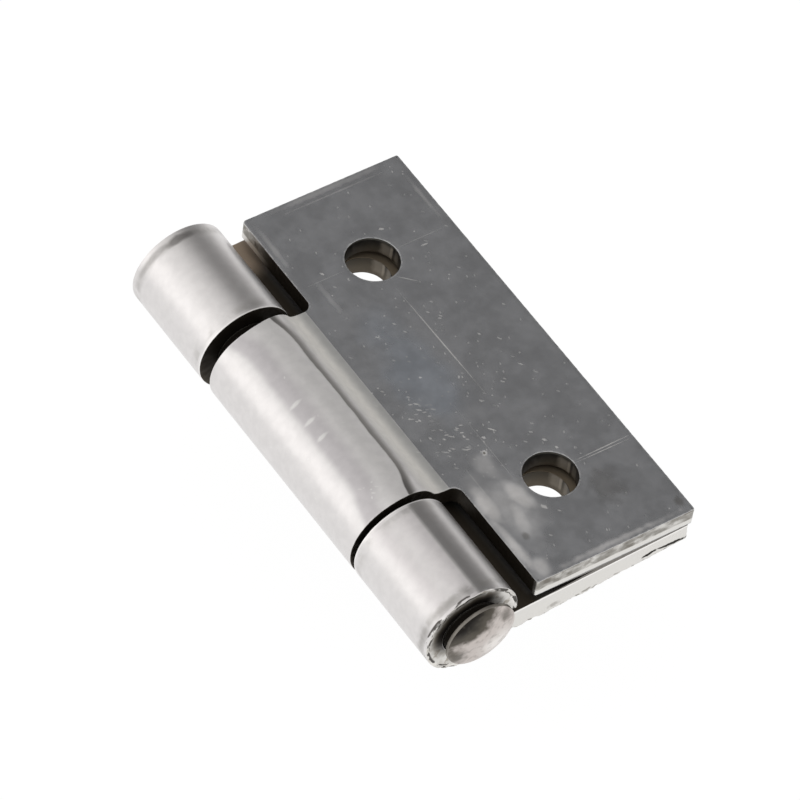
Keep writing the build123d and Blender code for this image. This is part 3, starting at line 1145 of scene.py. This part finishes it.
    def dress_front_edge(self, surface: Surface, across: Any, side: Surface) -> None:
        """Lays on the fixed leaf's front edge: a painted highlight along its upper corner, a ragged lower
        one and cracks.

        Args:
            surface: The surface to dress.
            across: The sockets that give the place on the strip.
            side: The same surface seen along the pin, for masks only.
        """
        half = self.strip.sheet / 2
        height = across["Z"]
        front = surface.both(
            surface.ramp(across["X"], 24.4, 24.6), surface.ramp(across["Y"], self.strip.roll_start, 6.0)
        )
        wall = surface.both(front, surface.ramp(height, -half + 0.01, -half + 0.04))
        # Painted highlight along the upper corner of the front face
        corner = surface.ramp(height, -half + 0.3, -half + 0.12)
        surface.lay(surface.both(wall, corner), self.edge_highlight, 0.4)
        surface.lay(surface.both(wall, side.marks(EDGE_PATCHES, 0.6, 0.4)), self.brown_dirt_and_shade, 0.5, 0.8)
        surface.lay(surface.both(wall, side.marks(EDGE_CRACKS, 0.6, 0.35, 0.4)), self.crack, 0.55)
        ragged = surface.both(wall, surface.ramp(height, half - 0.25, half - 0.1))
        surface.lay(surface.both(ragged, surface.clouds(0.9, 0.55, 0.65)), self.brown_dirt_and_shade, 0.5, 0.7)

    def dress_knuckle_end(self, surface: Surface, across: Any, wall: Any) -> None:
        """Lays on the front knuckle's sheared end: stains, painted shade from the pin head round the bore on
        its upper side, and a ragged crest outside.

        Args:
            surface: The surface to dress.
            across: The sockets that give the place on the strip.
            wall: The mask of the sheared edges.
        """
        half = self.strip.sheet / 2
        height = across["Z"]
        front = surface.both(wall, surface.ramp(across["X"], 24.3, 24.6))
        end = surface.both(front, surface.ramp(across["Y"], self.strip.bend_start, self.strip.roll_start))
        surface.lay(surface.both(end, surface.clouds(0.9, 0.35, 0.7)), self.end_face, 0.5)
        surface.lay(surface.both(end, surface.clouds(1.1, 0.56, 0.66)), self.end_stain, 0.5, 0.6)
        # Painted shade from the pin head: darker towards the bore on the upper side
        upper = surface.both(
            end, surface.band(across["Y"], self.strip.roll_place(305), self.strip.roll_place(165), 0.8, 2.5)
        )
        waver = surface.clouds(2.0, 0.2, 0.8)
        depth = add_node(
            surface.tree, "ShaderNodeMath", {0: waver, 1: 0.35, 2: height}, operation="MULTIPLY_ADD"
        )
        surface.lay(surface.both(upper, surface.ramp(depth, 0.95, 0.1)), self.brown_dirt_and_shade, 0.55)
        surface.lay(surface.both(upper, surface.ramp(depth, 0.4, -0.35)), self.end_shade, 0.6)
        crest = surface.both(end, surface.ramp(height, half - 0.55, half - 0.4))
        surface.lay(surface.both(crest, surface.clouds(0.6, 0.4, 0.55, (1, 2.5, 1))), self.crest, 0.5, 0.7)
        breaks = surface.clouds(0.4, 0.5, 0.56, (1, 3, 1))
        surface.lay(surface.both(crest, breaks), self.crest_break, 0.6, 0.9)


@dataclass(frozen=True)
class HammeredSteel:
    """Drawn steel bar, headed cold with a hammer: bright where it was struck, with scale beside that."""

    axis: Vector
    slots: Run  # stretches along the pin that show between the knuckles
    head_top: float
    bright: str = "#c8c0bb"
    polished: str = "#ece8e4"
    scale: str = "#24211e"
    grey: str = "#5d5850"
    rim: str = "#8f8a83"
    # painted shade on the pin where it shows in the gaps and under the head
    gap_shade: str = "#2a2622"
    struck_turn: float = 28.5  # degrees, from the leaf's direction to the length of the struck face
    grain_size: float = 0.3  # drawn coarser than the real grain, so that it shows
    grain_height: float = 0.006

    def material(self) -> bpy.types.Material:
        """Builds the material.

        Returns:
            The material.
        """
        material = bpy.data.materials.new("hammered bar steel")
        material.use_nodes = True
        tree = material.node_tree
        here = add_node(tree, "ShaderNodeTexCoord").outputs["Object"]
        from_axis = add_node(tree, "ShaderNodeVectorMath", {0: here, 1: self.axis}, operation="SUBTRACT")
        place = add_node(tree, "ShaderNodeVectorMath", {0: from_axis, "Scale": 1 / MM}, operation="SCALE")
        parts = add_node(tree, "ShaderNodeSeparateXYZ", {0: place}).outputs
        face_on = add_node(
            tree, "ShaderNodeCombineXYZ", {"X": parts["Y"], "Y": parts["Z"], "Z": parts["X"]}
        )
        surface = Surface(tree, face_on.outputs[0], linear(self.rim), 0.4)
        surface.shade(0.8, 0.25)
        dome = surface.ramp(parts["X"], self.head_top - 0.04, self.head_top + 0.01)
        surface.lay(dome, self.bright, 0.42)
        patches = (  # a mark, how ragged, grained and soft it is, its colour and its roughness
            (self.head_mark(0.9, -2.4, 2.8, 2.2, 1.0), 0.3, 1.5, 1.0, self.polished, 0.45),
            (self.head_mark(-2.9, 0.0, 1.5, 2.3, 0.9), 0.5, 1.0, 0.9, self.grey, 0.45),
            (self.head_mark(0.0, 2.5, 4.4, 2.1, 1.0), 0.35, 1.0, 0.4, self.grey, 0.5),
            (self.head_mark(0.0, 3.6, 4.2, 2.6, 1.0), 0.35, 1.4, 0.8, self.scale, 0.5),
            (self.head_mark(3.2, 0.0, 0.9, 1.6, 0.7), 0.5, 0.8, 0.9, self.grey, 0.5),
        )
        for mark, ragged, grain, soft, colour, roughness in patches:
            patch = surface.marks([mark], ragged, grain, soft)
            surface.lay(surface.both(dome, patch), colour, roughness)
        surface.lay(surface.both(dome, surface.clouds(0.7, 0.48, 0.7)), self.grey, 0.5, 0.3)
        # Painted shade on the pin in the gaps between the knuckles and under the head
        for low, high in self.slots:
            surface.lay(surface.band(parts["X"], low, high), self.gap_shade, 0.6)
        surface.finish(tree.nodes["Principled BSDF"], self.grain_size, self.grain_height)
        return material

    def head_mark(self, along: float, across: float, length: float, width: float, strength: float) -> Mark:
        """Places a mark on the head by the axes of its struck face.

        Args:
            along: From the head's middle, along the struck face.
            across: From the head's middle, across the struck face.
            length: Half the mark's size along the struck face.
            width: Half its size across it.
            strength: How strong it is.

        Returns:
            The mark.
        """
        turn = math.radians(self.struck_turn)
        x = along * math.cos(turn) - across * math.sin(turn)
        y = along * math.sin(turn) + across * math.cos(turn)
        return Mark(x, y, length, width, strength, self.struck_turn)


# How the dull shear has drawn out the leaves' front ends, along the strip
NO_LIP: Run = ((0.0, 0.0),)
MOVING_BURR: Run = ((7.2, 0.0), (10.0, 0.1), (14.0, 0.36), (18.0, 0.26), (22.0, 0.14), (25.1, 0.02))
FIXED_LIP: Run = (
    (-16.0, 0.12),
    (-6.0, 0.2),
    (3.0, 0.2),
    (6.5, 0.41),
    (13.0, 0.32),
    (18.0, 0.17),
    (24.7, 0.04),
)
FIXED_BURR: Run = ((9.0, 0.0), (14.0, 0.26), (18.0, 0.16), (22.0, 0.08), (24.7, 0.03))
MOVING_CLEARANCE = 2.05  # from the other leaf's knuckles to the bottom of the notches
FIXED_CLEARANCE = 1.0


@dataclass
class RolledLeaf:
    """One leaf: its blank, rolled into knuckles about the pin. Sizes are in millimetres."""

    kind: LeafKind
    strip: BentStrip
    edge: ShearedEdge
    length: float
    width: float
    lean: float  # radians by which the closed leaf leans about the pin
    hole_row: float
    hole_spacing: float
    hole_radius: float
    notch_line: float  # pin axis to the bottom of the notches
    corner: float = 0.2
    notch_corner: float = 1.0
    tongue_width: float = 24.0
    tongue_shift: float = 0.55
    roll_run: float = 0.95  # how far the tongue ran along the pin as it was curled
    run_from: float = -1.5  # plan distance from the pin at which the tongue starts to run off
    run_to: float = 5.5
    neck_flare: float = 0.25
    knuckle_gap: float = 1.2
    gaps_shown: tuple[float, float] = (2.0, 1.0)  # stretches of pin in the gaps, back and front, painted dark for shade
    step: float = 0.16

    @classmethod
    def from_frame(cls, kind: LeafKind, pin: Vector) -> "RolledLeaf":
        """Takes a leaf's sizes from the frame.

        Args:
            kind: Which leaf.
            pin: A point of the pin axis, in metres.

        Returns:
            The leaf.
        """
        mounts = {mount["name"]: mount for mount in frame["record"]["mounts"]}
        screws = mounts[f"{kind.value}_leaf_screws"]
        outward = Vector(screws["axis"])
        along = outward.cross(Vector((1, 0, 0))) * (1 if kind is LeafKind.MOVING else -1)
        seat = (Vector(screws["pos_m"]) - pin) / MM
        sheet = BentStrip.sheet
        strip = BentStrip(seat.dot(outward) - sheet)
        lean = math.asin(outward.y)
        low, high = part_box(f"{kind.value}_leaf")
        over = (strip.rise + sheet - EDGE_BREAK) * math.sin(lean)
        half_length = (high.x - low.x) / MM / 2
        if kind is LeafKind.MOVING:
            edge = ShearedEdge(
                sheet, torn_low=-0.3, torn_high=0.9, front=half_length, lip=NO_LIP, burr=MOVING_BURR
            )
            clearance = MOVING_CLEARANCE
        else:
            edge = ShearedEdge(
                sheet,
                torn_low=0.4,
                torn_high=0.9,
                front=-half_length,
                lip=FIXED_LIP,
                burr=FIXED_BURR,
                hole_burr=0.22,
            )
            clearance = FIXED_CLEARANCE
        return cls(
            kind,
            strip,
            edge,
            length=2 * half_length,
            width=((high.y - pin.y) / MM - over) / math.cos(lean),
            lean=lean,
            hole_row=seat.dot(along),
            hole_spacing=mounts["fixed_leaf_screws"]["dims"]["spacing_x_mm"],
            hole_radius=screws["dims"]["hole_r_mm"],
            notch_line=strip.bore_radius + sheet + clearance,
        )

    @property
    def name(self) -> str:
        """The piece's name."""
        return f"rolled_{self.kind.value}_leaf"

    @property
    def half_notch(self) -> float:
        """Half the width of the notch between the fixed leaf's knuckles."""
        return self.tongue_width / 2 + self.knuckle_gap

    def pin_slots(self, head_start: float) -> Run:
        """Lists where the pin is painted dark for shade: in the two gaps between the knuckles, and under the
        head.

        Args:
            head_start: The place along the pin at which its head starts.

        Returns:
            The two ends of each stretch.
        """
        notch = self.half_notch
        back, front = self.gaps_shown
        return (-notch, back - notch), (notch - front, notch), (self.length / 2, head_start + 0.03)

    def tongue_side(self, side: int) -> list[tuple[float, float, float]]:
        """Draws one side of the moving leaf's tongue, which leans from its neck to its roll.

        Args:
            side: -1 for the side at -X and 1 for the side at +X.

        Returns:
            Corners from the neck to the end of the sheet.
        """
        roll_x = self.tongue_shift + side * self.tongue_width / 2
        neck_x = roll_x - self.roll_run + side * self.neck_flare
        first = self.notch_line - 1.5 * self.notch_corner
        corners = [(neck_x, self.notch_line, self.notch_corner)]
        for y in (*np.arange(first, self.strip.roll_end, -self.step), self.strip.roll_end):
            along = (self.strip.plan_y(y) - self.run_from) / (self.run_to - self.run_from)
            share = float(np.clip(along, 0, 1)) if y > self.strip.roll_place(180) else 0.0
            corners.append((roll_x + (neck_x - roll_x) * share**2 * (3 - 2 * share), float(y), 0.0))
        return corners

    def outline(self) -> np.ndarray:
        """Draws the outline of the blank, with the sheet on its left.

        Returns:
            The points of the outline.
        """
        half = self.length / 2
        free_edge = [(half, self.width, self.corner), (-half, self.width, self.corner)]
        if self.kind is LeafKind.MOVING:
            back = [(-half, self.notch_line, 2 * self.corner), *self.tongue_side(-1)]
            front = [*reversed(self.tongue_side(1)), (half, self.notch_line, self.corner)]
            return rounded_loop([*free_edge, *back, *front], self.step)
        notch = self.half_notch
        end = self.strip.roll_end
        knuckles = [
            (-half, end, 0.0),
            (-notch, end, 0.0),
            (-notch, self.notch_line, self.notch_corner),
            (notch, self.notch_line, self.notch_corner),
            (notch, end, 0.0),
            (half, end, 0.0),
        ]
        return rounded_loop([*free_edge, *knuckles], self.step)

    def holes(self) -> list[np.ndarray]:
        """Draws the screw holes, with the sheet on their left.

        Returns:
            The points of each hole.
        """
        count = math.ceil(2 * math.pi * self.hole_radius / self.step)
        turn = -np.linspace(0, 2 * math.pi, count, endpoint=False)
        circle = self.hole_radius * np.stack((np.cos(turn), np.sin(turn)), axis=1)
        return [circle + (side * self.hole_spacing / 2, self.hole_row) for side in (-1, 1)]

    def build(self, tree: bpy.types.NodeTree, pin: Vector) -> bpy.types.Object:
        """Makes the leaf: punches its blank, rolls it up and gives it its finish.

        Args:
            tree: The node tree that rolls a blank.
            pin: A point of the pin axis, in metres.

        Returns:
            The leaf's object.
        """
        turned_over = self.kind is LeafKind.FIXED
        blank = Blank((self.outline(), *self.holes()), self.strip, self.edge, turned_over)
        leaf = bpy.data.objects.new(self.name, blank.mesh(f"{self.name}_blank"))
        bpy.context.scene.collection.objects.link(leaf)
        modifier = leaf.modifiers.new("Roll", "NODES")
        modifier.node_group = tree
        steel = SheetSteel(self.kind, self.strip, self.hole_row, self.hole_spacing, self.hole_radius)
        values = {
            "Bend Start": self.strip.bend_start * MM,
            "Bend Height": self.strip.bend_height * MM,
            "Bend Radius": self.strip.bend_radius * MM,
            "Roll Radius": self.strip.roll_radius * MM,
            "Neck Angle": self.strip.neck_angle,
            "Lean": self.lean,
            "Turn Over": math.pi if turned_over else 0.0,
            "Pin Axis": pin,
            "Finish": steel.material(),
        }
        for socket in tree.interface.items_tree:
            if socket.in_out == "INPUT" and socket.name in values:
                modifier[socket.identifier] = values[socket.name]
        graph = bpy.context.evaluated_depsgraph_get()
        rolled = bpy.data.meshes.new_from_object(leaf.evaluated_get(graph))
        leaf.modifiers.clear()
        leaf.data = rolled
        rolled.name = self.name
        rolled.shade_smooth()
        rolled.set_sharp_from_angle(angle=SHARP_ANGLE)
        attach(leaf, self.kind.value)
        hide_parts(f"{self.kind.value}_leaf")
        log.info("%s: %d faces", leaf.name, len(rolled.polygons))
        return leaf


@dataclass
class HingePin:
    """The pin, with its hammered head at +X and its peened tail at -X. Sizes are in millimetres."""

    radius: float = 3.0
    head_radius: float = 3.72
    head_start: float = 25.75
    head_rim: float = 0.42
    head_dome: float = 0.68
    head_shift: tuple[float, float] = (0.36, -0.14)  # along y and z, as the head was struck off the middle
    tail_radius: float = 3.45
    tail_start: float = -25.05
    tail_rim: float = 0.2
    tail_dome: float = 0.3
    corner: float = 0.08
    segments: int = 128
    dome_rings: int = 26
    blows: tuple[tuple[float, float, float], ...] = (  # turn about the pin in degrees, height and slope
        (-61.0, 0.6, 0.09),
        (110.0, 0.65, 0.16),
        (165.0, 0.67, 0.18),
        (25.0, 0.67, 0.17),
        (230.0, 0.67, 0.17),
    )

    def head_height(self, radius: float, turn: float) -> float:
        """Works out how high the hammered head stands over its rim.

        Args:
            radius: The distance from the pin axis.
            turn: The angle about it.

        Returns:
            The height of the dome, or of the flat that a blow has left.
        """
        dome = self.head_dome * (1 - (radius / self.head_radius) ** 2)
        flats = [
            height - slope * radius * math.cos(turn - math.radians(struck))
            for struck, height, slope in self.blows
        ]
        return min(dome, *flats)

    @property
    def head_top(self) -> float:
        """Where the head's rim ends and its dome starts, along the pin."""
        return self.head_start + self.head_rim

    def head_points(self, turns: Sequence[float]) -> list[Vector]:
        """Draws the rings of the head, from the middle of its dome to its underside.

        Args:
            turns: The angles of a ring's points about the pin.

        Returns:
            The points, about the head's own middle.
        """
        shares = [ring / self.dome_rings for ring in range(1, self.dome_rings)]
        radii = [*(share * self.head_radius for share in shares), self.head_radius - self.corner / 2]
        dome = [
            Vector((self.head_top + self.head_height(r, turn), r * math.cos(turn), r * math.sin(turn)))
            for r in radii
            for turn in turns
        ]
        rim = [
            (self.head_top - self.corner, self.head_radius),
            (self.head_start + self.corner, self.head_radius),
            (self.head_start, self.head_radius - self.corner),
        ]
        return dome + self.lathe(rim, turns)

    def shank_points(self, turns: Sequence[float]) -> list[Vector]:
        """Draws the rings of the shank and the peened tail.

        Args:
            turns: The angles of a ring's points about the pin.

        Returns:
            The points, without the tail's pole.
        """
        tail_top = self.tail_start - self.tail_rim
        shares = [1 - ring / self.dome_rings for ring in range(1, self.dome_rings)]
        profile = [
            (self.head_start, self.radius),
            (self.tail_start, self.radius),
            (self.tail_start, self.tail_radius - self.corner),
            (self.tail_start - self.corner / 2, self.tail_radius),
            (tail_top + self.corner / 2, self.tail_radius),
            *((tail_top - self.tail_dome * (1 - share**2), share * self.tail_radius) for share in shares),
        ]
        return self.lathe(profile, turns)

    @staticmethod
    def lathe(profile: Sequence[tuple[float, float]], turns: Sequence[float]) -> list[Vector]:
        """Turns a profile about the pin.

        Args:
            profile: Places along the pin, and a radius at each.
            turns: The angles of a ring's points about the pin.

        Returns:
            The points, ring by ring.
        """
        return [Vector((x, r * math.cos(turn), r * math.sin(turn))) for x, r in profile for turn in turns]

    def build(self, pin: Vector, slots: Run) -> bpy.types.Object:
        """Makes the pin.

        Args:
            pin: A point of the pin axis, in metres.
            slots: The stretches along the pin that show between the knuckles.

        Returns:
            The pin's object.
        """
        turns = np.linspace(0, 2 * math.pi, self.segments, endpoint=False)
        off_middle = Vector((0.0, *self.head_shift))
        head_pole = Vector((self.head_top + self.head_height(0.0, 0.0), 0.0, 0.0))
        tail_pole = Vector((self.tail_start - self.tail_rim - self.tail_dome, 0.0, 0.0))
        points = [point + off_middle for point in self.head_points(turns)]
        points.extend(self.shank_points(turns))
        points.extend((head_pole + off_middle, tail_pole))
        count = self.segments
        rings = [list(range(at, at + count)) for at in range(0, len(points) - 2, count)]
        faces = [face for upper, lower in zip(rings, rings[1:]) for face in Blank.wall(upper, lower)]
        top, bottom = len(points) - 2, len(points) - 1
        faces.extend([top, rings[0][at], rings[0][(at + 1) % count]] for at in range(count))
        faces.extend([bottom, rings[-1][(at + 1) % count], rings[-1][at]] for at in range(count))
        mesh = bpy.data.meshes.new("hammered_pin")
        mesh.from_pydata([tuple(point * MM + pin) for point in points], [], faces)
        mesh.materials.append(HammeredSteel(pin, slots, self.head_top).material())
        mesh.shade_smooth()
        mesh.set_sharp_from_angle(angle=SHARP_ANGLE)
        piece = bpy.data.objects.new("hammered_pin", mesh)
        bpy.context.scene.collection.objects.link(piece)
        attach(piece, "fixed")
        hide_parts("hinge_pin")
        log.info("%s: %d faces", piece.name, len(mesh.polygons))
        return piece


@dataclass(frozen=True)
class Lobe:
    """A part of the studio that is darker or brighter than the rest."""

    toward: tuple[float, float, float]  # the way in which it lies, seen from the object
    reach: float  # radians from its middle to its rim
    level: float  # how bright its middle is


@dataclass
class Studio:
    """A white floor, soft light from above and behind, and the camera. Sizes are in millimetres."""

    target: tuple[float, float, float] = (1.386, -7.147, 5.976)
    distance: float = 621.0
    azimuth: float = math.radians(-38.7067)
    elevation: float = math.radians(51.6292)
    roll: float = math.radians(6.3112)
    lens: float = 298.93
    floor_drop: float = 24.6  # below the origin, clear of the moving leaf at its far limit
    floor_radius: float = 2500.0
    shadow_share: float = 0.12  # of the floor's white that comes from the lamps and so takes a shadow
    floor_colour: str = "#f4f4f4"
    floor_glow: float = 1.05
    sky_colour: str = "#fffefd"
    white: str = "#ffffff"
    tent: float = 0.94  # how bright the studio is all round
    card: Lobe = Lobe((-0.487, 0.63, 0.60), math.radians(62), 0.2)
    glow: Lobe = Lobe((-0.49, -0.828, 0.261), math.radians(52), 1.45)

    def place_camera(self) -> None:
        """Sets the camera at the photograph's viewing angle."""
        data = bpy.data.cameras.new("camera")
        data.lens = self.lens
        camera = bpy.data.objects.new("camera", data)
        bpy.context.scene.collection.objects.link(camera)
        level = math.cos(self.elevation)
        back = Vector(
            (level * math.cos(self.azimuth), level * math.sin(self.azimuth), math.sin(self.elevation))
        )
        place = Vector(self.target) + back * self.distance
        turn = back.to_track_quat("Z", "Y").to_matrix() @ Matrix.Rotation(self.roll, 3, "Z")
        camera.matrix_world = Matrix.LocRotScale(place * MM, turn.to_quaternion(), None)
        data.clip_start = 0.01
        bpy.context.scene.camera = camera

    def lay_floor(self) -> None:
        """Lays the white floor, which is lit in part by the lamps, so that it keeps a shadow."""
        mesh = bpy.data.meshes.new("floor")
        turns = np.linspace(0, 2 * math.pi, 64, endpoint=False)
        radius, drop = self.floor_radius * MM, -self.floor_drop * MM
        rim = [(radius * math.cos(turn), radius * math.sin(turn), drop) for turn in turns]
        mesh.from_pydata(rim, [], [list(range(len(rim)))])
        material = bpy.data.materials.new("white paper floor")
        material.use_nodes = True
        tree = material.node_tree
        tree.nodes.clear()
        path = add_node(tree, "ShaderNodeLightPath").outputs
        seen: Any = path["Is Camera Ray"]
        for ray in ("Is Glossy Ray", "Is Transmission Ray"):
            seen = add_node(tree, "ShaderNodeMath", {0: seen, 1: path[ray]}, operation="MAXIMUM")
        paper = add_node(tree, "ShaderNodeBsdfDiffuse", {"Color": linear(self.floor_colour)})
        shine = {"Color": linear(self.white), "Strength": self.floor_glow}
        glow = add_node(tree, "ShaderNodeEmission", shine)
        share = add_node(tree, "ShaderNodeMath", {0: seen, 1: 1 - self.shadow_share}, operation="MULTIPLY")
        white = add_node(tree, "ShaderNodeMixShader", {0: share, 1: paper, 2: glow})
        below = add_node(tree, "ShaderNodeNewGeometry").outputs["Backfacing"]
        clear = add_node(tree, "ShaderNodeBsdfTransparent")
        one_sided = add_node(tree, "ShaderNodeMixShader", {0: below, 1: white, 2: clear})
        add_node(tree, "ShaderNodeOutputMaterial", {"Surface": one_sided})
        mesh.materials.append(material)
        floor = bpy.data.objects.new("floor", mesh)
        bpy.context.scene.collection.objects.link(floor)

    def light(self) -> None:
        """Sets the world: a white tent with a dark card that the flat leaf mirrors, and a bright side."""
        world = bpy.data.worlds.new("studio")
        bpy.context.scene.world = world
        world.use_nodes = True
        tree = world.node_tree
        tree.nodes.clear()
        way = add_node(tree, "ShaderNodeTexCoord").outputs["Generated"]
        level: Any = self.tent
        for lobe in (self.card, self.glow):
            toward = Vector(lobe.toward).normalized()
            near = add_node(tree, "ShaderNodeVectorMath", {0: way, 1: toward}, operation="DOT_PRODUCT")
            angle = add_node(tree, "ShaderNodeMath", {0: near.outputs["Value"]}, operation="ARCCOSINE")
            share = add_node(
                tree,
                "ShaderNodeMapRange",
                {"Value": angle, "From Min": lobe.reach, "From Max": 0.0, "To Max": lobe.level - self.tent},
                interpolation_type="SMOOTHERSTEP",
            )
            level = add_node(tree, "ShaderNodeMath", {0: level, 1: share}, operation="ADD")
        sky = add_node(tree, "ShaderNodeBackground", {"Color": linear(self.sky_colour), "Strength": level})
        white = add_node(tree, "ShaderNodeBackground", {"Color": linear(self.white), "Strength": 1.0})
        seen = add_node(tree, "ShaderNodeLightPath").outputs["Is Camera Ray"]
        both = add_node(tree, "ShaderNodeMixShader", {0: seen, 1: sky, 2: white})
        add_node(tree, "ShaderNodeOutputWorld", {"Surface": both})


def main() -> None:
    """Builds the pieces in order, then the studio."""
    logging.basicConfig(level=logging.INFO, format="%(name)s: %(message)s")
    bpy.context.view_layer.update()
    bpy.context.scene.view_settings.view_transform = "Standard"
    pin_axis = Vector(frame["joints"][0]["pos_m"])
    tree = roll_tree()
    leaves = [RolledLeaf.from_frame(kind, pin_axis) for kind in LeafKind]
    for leaf in leaves:
        leaf.build(tree, pin_axis)
    pin = HingePin()
    pin.build(pin_axis, leaves[0].pin_slots(pin.head_start))
    studio = Studio()
    studio.lay_floor()
    studio.light()
    studio.place_camera()


if __name__ == "__main__":
    main()
